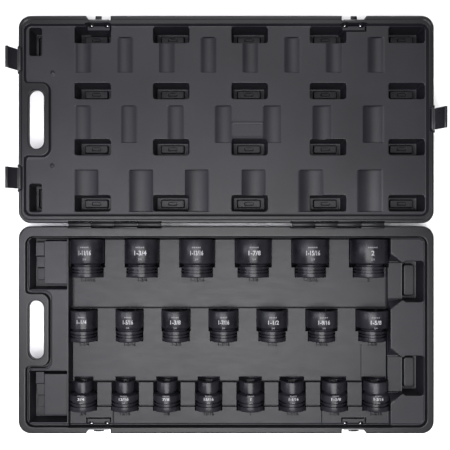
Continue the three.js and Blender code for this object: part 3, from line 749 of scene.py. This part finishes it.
# ---------------- base
def build_base():
    s = Sheet(H)
    rim_lines(s, -1)
    inner = (-332.5, 332.5, BASE_END, -18.5)
    # the moat round the inside of the rim, then the raised edge and the level beside the tray
    s.pit(*inner, MOAT, r=14, top=1.0, draft=0.4, foot=0.8, within=frame_block(-1))
    lip = (inner[0] + 3.2, inner[1] - 3.2, inner[2] + 3.2, inner[3] - 3.2)

    def inside_lip(x, y, by):
        sd = sd_rect(x, y, lip[0] + by, lip[1] - by, lip[2] + by, lip[3] - by, 11 - by)
        return round_meet(sd, frame_block(-1, 3.2 + by)(x, y))

    def island(x, y, h):
        sd = inside_lip(x, y, 0.0)
        high = MOAT + drop(-sd, LIP_TOP - MOAT, 0.4, 0.3, 0.8)
        return np.where(sd < 0, np.maximum(h, high), h)

    def floor(x, y, h):
        sd = inside_lip(x, y, 2.0)
        low = LIP_TOP - drop(-sd, LIP_TOP - BASE_TOP, 0.4, 0.4, 0.4)
        return np.where(sd < 0, np.minimum(h, low), h)

    s.lines(*lip, (-1.2, 0, 0.4, 0.8, 1.2, 2.0, 2.6, 3.4))
    for e in (3.2, 5.2):
        s.lines(-400, FRAME_X + e, *frame_ends(-1, e), (-1, 0, 0.6, 1.2))
    s.features += [island, floor]
    x0, x1 = TRAY
    soft = dict(start=BASE_TOP, r=4, top=1.2, draft=1.4, foot=1.6)
    for front, level in TERRACES[::-1]:
        s.pit(x0, x1, front, TRAY_REAR, level, **soft)
    line = dict(r=0.6, top=0.3, draft=0.2, foot=0.3)
    for front, level in TERRACES[:3]:
        s.pit(x0 + 1, x1 - 1, front + 1.0, front + 3.4, level - 2.4, start=level, **line)
    for side in (x0 + 3.6, x1 - 5.6):
        s.pit(side, side + 2.0, TERRACES[2][0], TRAY_REAR - 2, TERRACES[0][1] - 2, start=TERRACES[0][1], **line)
    for x, y0, y1, level in ((-188, -330, -306, 45), (159, -330, -306, 45), (226, -262, -200, 37)):
        s.pit(x - 0.7, x + 0.7, y0, y1, level - 1.6, start=level, **line)
    s.pit(x0, x1, BASE_END, BASE_END + 4.6, MOAT - 6, start=MOAT, r=2, top=0.6, draft=0.4, foot=0.6)
    # a seat for each socket: one channel, or two where the nose and the boss differ in width
    for sk in SOCKETS:
        end = sk["nose"] - sk["length"]
        if sk["b"] < sk["r"]:
            shoulder = end + 15.5
            s.trough(sk["x"], end - 1.4, shoulder + 1.2, sk["z"], sk["b"] + 1.0)
            s.trough(sk["x"], shoulder, sk["nose"] + 1.4, sk["z"], sk["r"] + 1.0)
        elif sk["nose"] < TERRACES[1][0] + 10:
            s.trough(sk["x"], end - 1.4, TERRACES[1][0] + 0.8, sk["z"], sk["wide"] / 2 + 1.0)
            s.trough(sk["x"], TERRACES[1][0] - 1, sk["nose"] + 5, sk["z"], sk["r"] + 1.6)
        else:
            s.trough(sk["x"], end - 1.4, sk["nose"] + 1.4, sk["z"], sk["wide"] / 2 + 1.0)
    left_pits(s)
    right_pits(s)
    latch_pockets(s, -1, MOAT)

    def inset(x, y, z):
        """The sunk band, with a catch groove under each side clip."""
        d = band_inset(x, y, z)
        for _, side, cy in CLIPS:
            zone = (np.abs(y + cy) < 20) & (x * side > 300)
            d = np.where(zone & (z > 26) & (z < 36), 2.8, d)
        return d

    # these places are mirrored away from this half, so they give it grid lines and no dimples
    seats = [(sk["x"], sk["nose"] - 26) for sk in SOCKETS]
    base = shell_mesh("base_shell_moulded", s, underside(-1, seats), sd_outline(-1),
                      (-CASE_X, CASE_X, -FRONT, -REAR),
                      (50, 44, 40, 38, 36.2, 35.8, 31, 26.2, 25.8, 10, 8, 5.01), inset)
    return join([base, *knuckles(-1)])


def left_pits(s):
    """Accessory pits: a moat round a raised slab, with a stair of blocks beside it."""
    for (y0, y1), (a, b), stair in (((-108, -20), (-101, -25), (-94, -73, -53, -29)),
                                    ((-328, -241), (-320, -247), (-309, -288, -267, -246))):
        s.pit(-326, -262.5, y0, y1, PIT_FLOOR, start=BASE_TOP, r=3, top=1.2, draft=1.6, foot=1.5)
        s.pad(-306, -258, a, b, 40, PIT_FLOOR, r=2.0, top=1.0, draft=1.0, foot=1.0)
        for z, near, far in zip((24, 30, 36), stair, stair[1:]):
            s.pad(-320, -304, near, far + 0.4, z, PIT_FLOOR, r=0.8, top=0.6, draft=0.5, foot=0.4)


def right_pits(s):
    """Two accessory pits, each opening to the tray through a channel with flared shoulders."""
    bottom, channel = 9, 36
    near, far, reach_out = 268, 289, 14
    for y0, y1 in ((-128, -60), (-283, -217)):
        s.pit(293, 328, y0 - 1, y1 + 1, bottom, start=BASE_TOP, r=6, top=1.2, draft=1.0, foot=2.0)
        s.pad(300, 320.5, y0 + 6.5, y1 - 6.5, 21, bottom, r=5, top=2.0, draft=0.4, foot=0.6)
        s.pit(TRAY[1] - 6, 297, y0 + 1.5, y1 - 1.5, channel, start=BASE_TOP, r=1.5, top=1.2, draft=1.0,
              foot=1.0)
        for edge, k in ((y0 + 1.5, -1), (y1 - 1.5, 1)):
            s.ys += [edge + k * t for t in (0.0, 2, 4, 6, 8, 10, 12, 14)]
            s.xs += list(np.arange(near, far + 1, 2.0))

            def flare(x, y, h, edge=edge, k=k):
                out = (y - edge) * k
                reach = np.clip((far - x) / 17, 0, 1) * reach_out
                inside = (x > near) & (x < far) & (out > -1.5) & (out < reach)
                slope = channel + (BASE_TOP - channel) * np.clip(out / np.maximum(reach, 0.1), 0, 1)
                return np.where(inside, np.minimum(h, slope), h)

            s.features.append(flare)


# ---------------- sockets
ROUND = 72  # samples round a socket: a multiple of 12, so hexagon and square corners are hit


def polygon_radius(angles, sides, flats, soften):
    """Radius to the wall of a regular opening, its corners eased."""
    step = 2 * math.pi / sides
    off = (angles + step / 2) % step - step / 2
    r = flats / 2 / np.cos(off)
    corner = flats / 2 / math.cos(step / 2) - soften
    return np.minimum(r, corner)


def build_socket(s):
    """One socket, turned about Y: outside from nose to drive end, then the bore back to the nose."""
    R, B, L = s["r"], s["b"], s["length"]  # nose radius, boss radius, length
    angles = np.linspace(0, 2 * math.pi, ROUND, endpoint=False)
    hexagon = polygon_radius(angles, 6, s["flats"], 0.5)
    square = polygon_radius(angles + math.pi / 4, 4, 19.2, 1.2)
    pin_groove = L - 9.3
    deep = L * 0.55  # depth of the hexagon
    # rings of the drive end: (distance from the end, radius below the boss)
    rings = ((21.0, 2.6), (18.0, 3.2), (17.6, 0.3), (14.4, 0.2), (14.0, 3.2), (11.9, 3.2), (11.6, 0.5),
             (9.7, 0.5), (9.4, 3.2), (7.2, 3.2), (6.9, 0.2))
    if B > R + 0.5:
        rings = ((17.2, 0.0), (16.8, 3.0), (14.0, 3.0), (13.6, 0.5), (11.8, 0.5), (11.4, 3.2), (8.4, 3.2),
                 (8.0, 0.2))
        body = [(R, 1.6), (R, L - 33), (R - 2.4, L - 32.4), (R - 2.4, L - 30.0), (B - 1.0, L - 27.2),
                (B, L - 26.6)]
    elif R > B + 0.5:
        body = [(R, 1.6), (R, L - 24.8), (R - 0.6, L - 23.6), (B - 0.6, L - 22.4)]
    else:
        body = [(R, 1.6), (R, L * 0.3), (B, L * 0.42), (B, L - 22.4)]
    outer = [(R - 1.7, 0.0), (R - 0.9, 0.3), (R - 0.25, 0.8), *body,
             *((B - low, L - back) for back, low in rings), (B, L - 1.8), (B - 0.3, L - 0.9),
             (B - 1.0, L - 0.3), (B - 1.9, L)]
    lead = np.maximum(hexagon, s["flats"] / 2 / math.cos(math.pi / 6) - 0.3)
    round_bore = np.full(ROUND, min(s["flats"] / 2 - 0.4, 12.6))
    neck = np.minimum(round_bore, hexagon)
    inner = [(square * 1.07, L), (square * 1.02, L - 0.5), (square, L - 1.6), (square, deep + 5.0),
             (np.maximum(square, neck * 0.98), deep + 4.6), (neck, deep + 1.2),
             (hexagon * 0.99, deep + 1.0), (hexagon, deep), (hexagon, 4.2),
             (hexagon * 0.5 + lead * 0.5, 2.6), (lead, 1.2), (lead + 0.5, 0.35), (lead + 0.9, 0.0)]
    sections = [(np.full(ROUND, float(r)), y) for r, y in outer] + inner
    verts = []
    for r, y in sections:
        verts.append(np.stack([s["x"] + r * np.sin(angles), np.full(ROUND, s["nose"] - y),
                               s["z"] + r * np.cos(angles)], -1))
    n = len(sections)
    k = np.arange(ROUND)
    faces = [np.stack([i * ROUND + k, i * ROUND + (k + 1) % ROUND,
                       ((i + 1) % n) * ROUND + (k + 1) % ROUND, ((i + 1) % n) * ROUND + k], -1)
             for i in range(n)]
    obj = new_object(s["node"] + "_body", np.concatenate(verts), np.concatenate(faces), STEEL, 32.0)
    y = s["nose"] - pin_groove
    hole = rod("pin_hole", (s["x"] - B - 2, y, s["z"]), (s["x"] + B + 2, y, s["z"]), 1.9, STEEL, 20,
               round_by=0)
    return cut(obj, hole)


# ---------------- numbers
def flat_text(text, size, bold):
    """Outline text as triangles in the XY plane, centred on the origin, in millimetres."""
    curve = bpy.data.curves.new("number", "FONT")
    curve.body = text
    curve.size = size
    curve.align_x = "CENTER"
    curve.align_y = "CENTER"
    curve.offset = bold
    curve.resolution_u = 3
    obj = bpy.data.objects.new("number", curve)
    bpy.context.scene.collection.objects.link(obj)
    deps = bpy.context.evaluated_depsgraph_get()
    mesh = bpy.data.meshes.new_from_object(obj.evaluated_get(deps))
    bpy.data.objects.remove(obj)
    bm = bmesh.new()
    bm.from_mesh(mesh)
    bpy.data.meshes.remove(mesh)
    bmesh.ops.triangulate(bm, faces=bm.faces)
    return bm


def dashes(bm, count, w, h, y):
    """Adds a rule of short dashes, w long and centred at height y."""
    pitch = w / count
    for i in range(count):
        x = -w / 2 + pitch * (i + 0.5)
        corners = ((-0.36, -0.5), (0.36, -0.5), (0.36, 0.5), (-0.36, 0.5))
        bm.faces.new([bm.verts.new((x + a * pitch, y + b * h, 0)) for a, b in corners])


def wrap(name, bm, s, middle, r, squash, material):
    """Lays flat print on the upper side of a socket."""
    bmesh.ops.subdivide_edges(bm, edges=[e for e in bm.edges if e.calc_length() > 2.5], cuts=1)
    for v in bm.verts:
        a = v.co.x / r
        v.co = Vector((s["x"] + r * math.sin(a), middle + v.co.y * squash, s["z"] + r * math.cos(a)))
    return from_bmesh(name, bm, material, 80)


def printed_size(s):
    """Size print on a socket: the size, with a faint dashed rule above and the drive size below."""
    big = 10.6 if s["boss"] > 44 else 9.4
    on_boss = s["b"] > s["r"] + 0.5
    squash = 0.66 if on_boss else 1.0
    r = (s["b"] if on_boss else s["r"]) + 0.14
    middle = s["nose"] - (s["length"] - 21.8 if on_boss else s["length"] * 0.36)
    bm = flat_text(s["size"], big, 0.22)
    wide = max(v.co.x for v in bm.verts) - min(v.co.x for v in bm.verts)
    limit = s["wide"] * 0.37
    if wide > limit:
        bmesh.ops.scale(bm, vec=(limit / wide, 1, 1), verts=bm.verts)
    main = wrap(s["node"] + "_size_print", bm, s, middle, r, squash, INK)
    faint = flat_text("3/4", big * 0.45, 0.1)
    bmesh.ops.translate(faint, vec=(0, -big * 0.95, 0), verts=faint.verts)
    dashes(faint, 5, s["wide"] * 0.26, big * 0.2, big * 0.9)
    return join([main, wrap(s["node"] + "_faint_print", faint, s, middle, r, squash, FAINT)])


def tray_sizes():
    """Raised size numbers moulded into the tray at the drive end of each seat."""
    out = []
    for s in SOCKETS:
        bm = flat_text(s["size"], 8.0, 0.12)
        front = s["nose"] - s["length"]
        y = front - (5.8 if s["boss"] > 44 else 6.6)
        level = min(z for f, z in TERRACES if y < -20 and y > f)
        shape = bmesh.ops.extrude_face_region(bm, geom=bm.faces[:])
        raised = [v for v in shape["geom"] if isinstance(v, bmesh.types.BMVert)]
        bmesh.ops.translate(bm, vec=(0, 0, 0.9), verts=raised)
        bmesh.ops.recalc_face_normals(bm, faces=bm.faces)
        bmesh.ops.translate(bm, vec=(s["x"], y, level - 0.2), verts=bm.verts)
        # the numbers' dark material is painted shade
        out.append(from_bmesh(s["node"] + "_tray_size", bm, SHADED_NUMBERS, 40))
    return join(out)


# ---------------- front latches
def front_at(direction, out):
    return direction * (NOTCH_Y + out)


def pressed(name, direction, profile, a, b, material, round_by):
    """A part with a profile of (distance out from the notch, height), pushed along X from a to b."""
    points = [(front_at(direction, out), z) for out, z in profile]
    return extruded(name, points, "X", *sorted((a, b)), material, round_by)


def cross_rod(name, pivot, a, b, r, material, sides=16, round_by=0):
    """A round bar along X through a pivot of the front latch."""
    y, z = front_at(-1, pivot[0]), pivot[1]
    return rod(name, (a, y, z), (b, y, z), r, material, sides, round_by)


def pressed_plate(name, direction, x):
    """Back plate with rounded corners and two rivet holes."""
    y0, y1 = front_at(direction, 0.3), front_at(direction, 1.5)
    pts = []
    for cx, cz, a0 in ((15.5, 49, 0), (-15.5, 49, 90), (-15.5, 30, 180), (15.5, 30, 270)):
        pts += [(x + cx + 2 * math.cos(math.radians(a0 + t)), cz + 2 * math.sin(math.radians(a0 + t)))
                for t in (0, 30, 60, 90)]
    plate = extruded(name, pts, "Y", min(y0, y1), max(y0, y1), ZINC, 0.25)
    holes = [rod("hole", (x + u, y0 - 3 * direction, RIVET_Z), (x + u, y1 + 3 * direction, RIVET_Z), 2.0,
                 ZINC, 20, 0) for u in (-RIVET_X, RIVET_X)]
    return cut(plate, *holes)


def build_latch_plate(label, x):
    """Back plate with a small flange on top and two ears that hold the lever's pin."""
    plate = pressed_plate(f"latch_plate_{label}_pressed", -1, x)
    flange = ((1.2, 49.6), (3.0, 49.3), (3.3, 48.9), (2.9, 48.5), (1.2, 48.7))
    # the flange takes the dark plated material, not the plate's own, as painted shade between the notch's back
    # wall and the lever
    parts = [plate, pressed(f"latch_flange_{label}", -1, flange, x - 4.8, x + 4.8, DARK_ZINC, 0.1)]
    profile = ((1.2, 42.5), (3.6, 42.8), (4.8, 43.8), (5.3, 45.2), (5.3, 47.2), (4.6, 48.6), (3.4, 49.4),
               (1.2, 49.5))
    for side in (-1, 1):
        a, b = sorted((x + side * 5.0, x + side * 6.2))
        ear = pressed(f"latch_ear_{label}_{side}", -1, profile, a, b, ZINC, 0.2)
        parts.append(cut(ear, cross_rod("hole", LEVER_PIVOT, a - 2, b + 2, 1.2, ZINC)))
    return join(parts)


def build_lever(label, x):
    """Pressed lever: curled sheet with two cheeks and a finger lip."""
    face = ((5.5, 42), (6.7, 42), (6.8, 30), (6.9, 25), (7.4, 22.6), (7.1, 22.0), (6.2, 22.2), (5.7, 24.6),
            (5.6, 30))
    sheet = pressed(f"latch_lever_{label}_pressed", -1, face, x - 7.7, x + 7.7, DARK_ZINC, 0.3)
    curl = cross_rod(f"latch_curl_{label}", LEVER_PIVOT, x - 4.7, x + 4.7, 2.0, DARK_ZINC, 24, 0.3)
    parts = [sheet, cut(curl, cross_rod("hole", LEVER_PIVOT, x - 9, x + 9, 1.15, DARK_ZINC))]
    out, height = LEVER_PIVOT
    arc = [(out + 1.9 * math.cos(t), height + 1.9 * math.sin(t)) for t in np.radians(np.linspace(0, 180, 9))]
    profile = (*arc, (1.9, 40), (2.3, 33), (5.7, 27.5), (5.9, 42))
    for side in (-1, 1):
        a, b = sorted((x + side * 6.5, x + side * 7.7))
        cheek = pressed(f"latch_cheek_{label}_{side}", -1, profile, a, b, DARK_ZINC, 0.2)
        parts.append(cut(cheek, cross_rod("hole", LEVER_PIVOT, a - 2, b + 2, 1.2, DARK_ZINC),
                         cross_rod("hole", LOOP_PIVOT, a - 2, b + 2, 1.3, DARK_ZINC)))
    return join(parts)


def swept_wire(name, points, r, material):
    """A round wire through points, its bends rounded."""
    sides = 14
    path = []
    for i, p in enumerate(points):
        p = Vector(p)
        if 0 < i < len(points) - 1:
            a, b = Vector(points[i - 1]) - p, Vector(points[i + 1]) - p
            reach = min(2.2, a.length * 0.45, b.length * 0.45)
            start, end = p + a.normalized() * reach, p + b.normalized() * reach
            path += [start.lerp(p, t).lerp(p.lerp(end, t), t) for t in np.linspace(0, 1, 6)]
        else:
            path.append(p)
    bm = bmesh.new()
    rings = []
    normal = None
    for i, p in enumerate(path):
        d = (path[min(i + 1, len(path) - 1)] - path[max(i - 1, 0)]).normalized()
        if normal is None:
            normal = d.orthogonal().normalized()
        normal = (normal - d * normal.dot(d)).normalized()
        side = d.cross(normal)
        rings.append([bm.verts.new(p + (normal * math.cos(t) + side * math.sin(t)) * r)
                      for t in np.linspace(0, 2 * math.pi, sides, endpoint=False)])
    skin(bm, rings, sides)
    bm.faces.new(rings[0][::-1])
    bm.faces.new(rings[-1])
    bmesh.ops.recalc_face_normals(bm, faces=bm.faces)
    return from_bmesh(name, bm, material, 60)


def build_loop(label, x):
    """Wire loop hanging from its pivot in the lever's cheeks."""
    lean = math.radians(9.5)
    out, height = LOOP_PIVOT
    half = ((6.7, 0), (9.3, 0), (9.3, 18), (6.4, 26))  # across, down along the loop
    path = [(-u, t) for u, t in half] + [*half[::-1]]
    points = [(x + u, front_at(-1, out + t * math.sin(lean)), height - t * math.cos(lean)) for u, t in path]
    return swept_wire(f"latch_loop_{label}_wire", points, 1.0, DARK_ZINC)


def build_keeper(label, x):
    """Riveted plate with a curled hook for the loop."""
    plate = pressed_plate(f"keeper_{label}_pressed", 1, x)
    profile = ((1.0, 47.2), (1.6, 45.9), (3.4, 45.4), (6.4, 45.4), (7.2, 44.6), (7.45, 40.9), (8.1, 40.5),
               (8.8, 41.0), (8.84, 45.0), (8.2, 46.4), (6.8, 46.8), (3.4, 46.8), (2.2, 47.6), (1.4, 49.0),
               (1.0, 48.6))
    hook = pressed(f"keeper_hook_{label}", 1, profile, x - 4.8, x + 4.8, DARK_ZINC, 0.25)
    for v in hook.data.vertices:
        flare = 1 + 0.35 * max(0.0, 1 - (v.co.y / MM - NOTCH_Y) / 5.5)
        v.co.x = (x + (v.co.x / MM - x) * flare) * MM
    return join([plate, hook])


def build_rivet(name, direction, x):
    """A set rivet: domed outer head, shank and upset inner head, turned as one profile."""
    profile = ((0, 2.8), (1.2, 2.75), (2.2, 2.4), (2.65, 1.95), (2.7, 1.8), (1.7, 1.8), (1.7, -5.1),
               (3.1, -5.1), (3.0, -5.8), (2.4, -6.9), (1.3, -7.6), (0, -7.8))
    sides = 24
    bm = bmesh.new()
    rings = []
    for r, o in profile:
        y = front_at(direction, o)
        if r == 0:
            rings.append([bm.verts.new((x, y, RIVET_Z))])
        else:
            rings.append([bm.verts.new((x + r * math.cos(t), y, RIVET_Z + r * math.sin(t)))
                          for t in np.linspace(0, 2 * math.pi, sides, endpoint=False)])
    skin(bm, rings, sides)
    bmesh.ops.recalc_face_normals(bm, faces=bm.faces)
    return from_bmesh(name, bm, BRIGHT, 50)


# ---------------- side clips
def build_clip(label, side, y):
    """Plastic clip: a barrel that snaps over the bar, a ribbed flap and a catch lip."""
    rest = math.radians(25)

    def arc(r, start, end, count):
        return [(r * math.sin(t), r * math.cos(t)) for t in np.radians(np.linspace(start, end, count))]

    flap = [(0.9, 4.6), (0.9, 26.6), (0.0, 27.2), (-1.3, 28.2), (-1.3, 29.6), (-0.4, 31.0), (3.2, 31.0),
            (3.9, 30.2), (3.9, 5.0)]
    profile = arc(3.8, 60, 150, 9) + arc(2.35, 150, -150, 25) + arc(3.8, -150, -5, 13) + flap

    def place(p):
        u = p[0] * math.cos(rest) + p[1] * math.sin(rest)
        v = -p[0] * math.sin(rest) + p[1] * math.cos(rest)
        return side * (CLIP_BAR[0] + u), CLIP_BAR[1] + v

    clip = extruded(f"side_clip_{label}_moulded", [place(p) for p in profile], "Y", y - 17.5, y + 17.5,
                    CLIP, 0.5)
    parts = [clip]
    for k in range(3):
        z = 20.5 + 3 * k
        rib = [(3.6, z - 0.9), (4.35, z - 0.5), (4.35, z + 0.5), (3.6, z + 0.9)]
        parts.append(extruded(f"clip_rib_{label}_{k}", [place(p) for p in rib], "Y", y - 13, y + 13,
                              CLIP, 0.25))
    return join(parts)


# ---------------- put together
def own(obj, body, slot, *nodes):
    """Gives a piece its body and hides the CAD nodes that it replaces; the slot argument is not used."""
    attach(obj, body)
    if nodes:
        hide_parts(*nodes)


own(build_lid(), "lid", "case_plastic", "lid_shell")
own(build_base(), "base", "case_plastic", "base_shell")
own(tray_sizes(), "base", "case_plastic")
for socket in SOCKETS:
    own(build_socket(socket), socket["node"], "black_steel", socket["node"])
    own(printed_size(socket), socket["node"], "black_steel")
for label, side in (("left", -1), ("right", 1)):
    x = side * LATCH_X
    a, b = both_sides(side, HINGE_IN + 1, HINGE_IN + 4 * PITCH - 1)
    own(rod(f"hinge_pin_{label}_steel", (a, 0, AXIS_Z), (b, 0, AXIS_Z), 1.8, ZINC, 20, 0.5), "base",
        "plated_steel", f"hinge_pin_{label}")
    own(build_latch_plate(label, x), "base", "plated_steel", f"latch_plate_{label}")
    own(build_lever(label, x), f"lever_{label}", "plated_steel", f"latch_lever_{label}")
    own(cross_rod(f"latch_lever_pin_{label}_steel", LEVER_PIVOT, x - 8, x + 8, 0.9, ZINC, 16, 0.3), "base",
        "plated_steel", f"latch_lever_pin_{label}")
    own(build_loop(label, x), f"loop_{label}", "plated_steel", f"latch_loop_{label}")
    own(build_keeper(label, x), "lid", "plated_steel", f"keeper_{label}")
    for end, u in (("a", -RIVET_X), ("b", RIVET_X)):
        own(build_rivet(f"latch_rivet_{label}_{end}_set", -1, x + u), "base", "plated_steel",
            f"latch_rivet_{label}_{end}")
        own(build_rivet(f"keeper_rivet_{label}_{end}_set", 1, x + u), "lid", "plated_steel",
            f"keeper_rivet_{label}_{end}")
for label, side, y in CLIPS:
    own(build_clip(label, side, y), f"clip_{label}", "case_plastic", f"side_latch_{label}")


# ---------------- studio
def studio_floor():
    bm = bmesh.new()
    bmesh.ops.create_grid(bm, x_segments=2, y_segments=2, size=6000)
    floor = from_bmesh("floor", bm, paper())
    floor.location.z = -0.0005


def paper():
    """Matt white sheet under the object."""
    n = Nodes("paper")
    fibre = n.noise(6.0, 4.0)
    colour = n.ramp(fibre, (0.3, (0.90, 0.90, 0.90)), (0.7, (0.93, 0.93, 0.93)))
    return n.finish(colour, n.grey(fibre, 0.8, 0.9), n.bump(fibre, 0.05, 0.001))


def area_light(name, at, toward, size, watts, colour=(1, 1, 1)):
    data = bpy.data.lights.new(name, "AREA")
    data.shape = "RECTANGLE"
    data.size, data.size_y = size
    data.energy = watts
    data.color = colour
    obj = bpy.data.objects.new(name, data)
    bpy.context.scene.collection.objects.link(obj)
    obj.location = at
    obj.rotation_euler = (Vector(toward) - Vector(at)).to_track_quat("-Z", "Y").to_euler()


def camera():
    """Straight down from above the open case, as far off as the photograph was taken."""
    data = bpy.data.cameras.new("camera")
    data.sensor_width = 36.0
    away, across = 1155.0, 742.5
    data.lens = 36.0 * away / across
    data.clip_end = 50
    obj = bpy.data.objects.new("camera", data)
    bpy.context.scene.collection.objects.link(obj)
    obj.location = Vector((-2.0, -0.6, H + away)) * MM
    bpy.context.scene.camera = obj


studio_floor()
camera()
world = bpy.data.worlds.new("studio")
world.use_nodes = True
background = world.node_tree.nodes["Background"]
background.inputs["Color"].default_value = (1, 1, 1, 1)
background.inputs["Strength"].default_value = 0.35
bpy.context.scene.world = world
bpy.context.scene.view_settings.view_transform = "Standard"
area_light("key", (-0.03, -0.38, 1.4), (-0.03, -0.3, 0), (1.1, 0.8), 34)
area_light("back", (0, 1.3, 2.0), (0, 0.55, 0), (1.6, 0.8), 22)
area_light("side", (-1.3, -0.1, 1.6), (-0.2, 0, 0), (0.4, 2.0), 22, (0.90, 0.88, 1.0))
